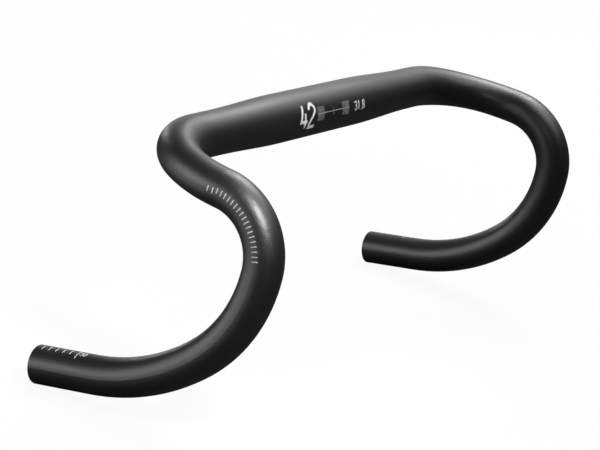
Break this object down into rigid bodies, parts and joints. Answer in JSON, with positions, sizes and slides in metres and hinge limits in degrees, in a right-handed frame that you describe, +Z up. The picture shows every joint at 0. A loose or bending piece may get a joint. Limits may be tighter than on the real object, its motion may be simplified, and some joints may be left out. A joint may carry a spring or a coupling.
{
  "type": "drop handlebar",
  "caption": "Road bicycle drop handlebar: a round bar swollen at the stem clamp, with bends forward into open hooks and straight drop ends, matt black with printed setting scales.",
  "frame": {"origin": "middle of the stem clamp, on the bar's centre line", "axes": "+X along the clamp to the rider's right, +Y forward in the riding direction, +Z up with the ramps 7.5 degrees below level"},
  "size_m": [0.4438, 0.1501, 0.171],
  "materials": {
    "tube_finish": "matt black coat with a fine blasted grain and a faint metallic sparkle",
    "sleeve_composite": "bare moulded composite, fine woven grain",
    "adhesive": "cured epoxy, dull",
    "white_ink": "white transfer ink, matt",
    "grey_ink": "grey transfer ink, matt"
  },
  "bodies": {
    "root": {"centre_section": "tube_finish", "right_drop": "tube_finish", "left_drop": "tube_finish", "right_joint_sleeve": "sleeve_composite", "right_joint_adhesive": "adhesive", "left_joint_sleeve": "sleeve_composite", "left_joint_adhesive": "adhesive", "centre_mark": "grey_ink", "right_clamp_grid": "grey_ink", "left_clamp_grid": "grey_ink", "width_mark": "white_ink", "clamp_size_mark": "white_ink", "right_lever_scale": "white_ink", "right_trim_scale": "white_ink", "right_trim_line": "white_ink", "right_trim_number": "white_ink", "left_lever_scale": "white_ink", "left_trim_scale": "white_ink", "left_trim_line": "white_ink", "left_trim_number": "white_ink"}
  },
  "joints": []
}
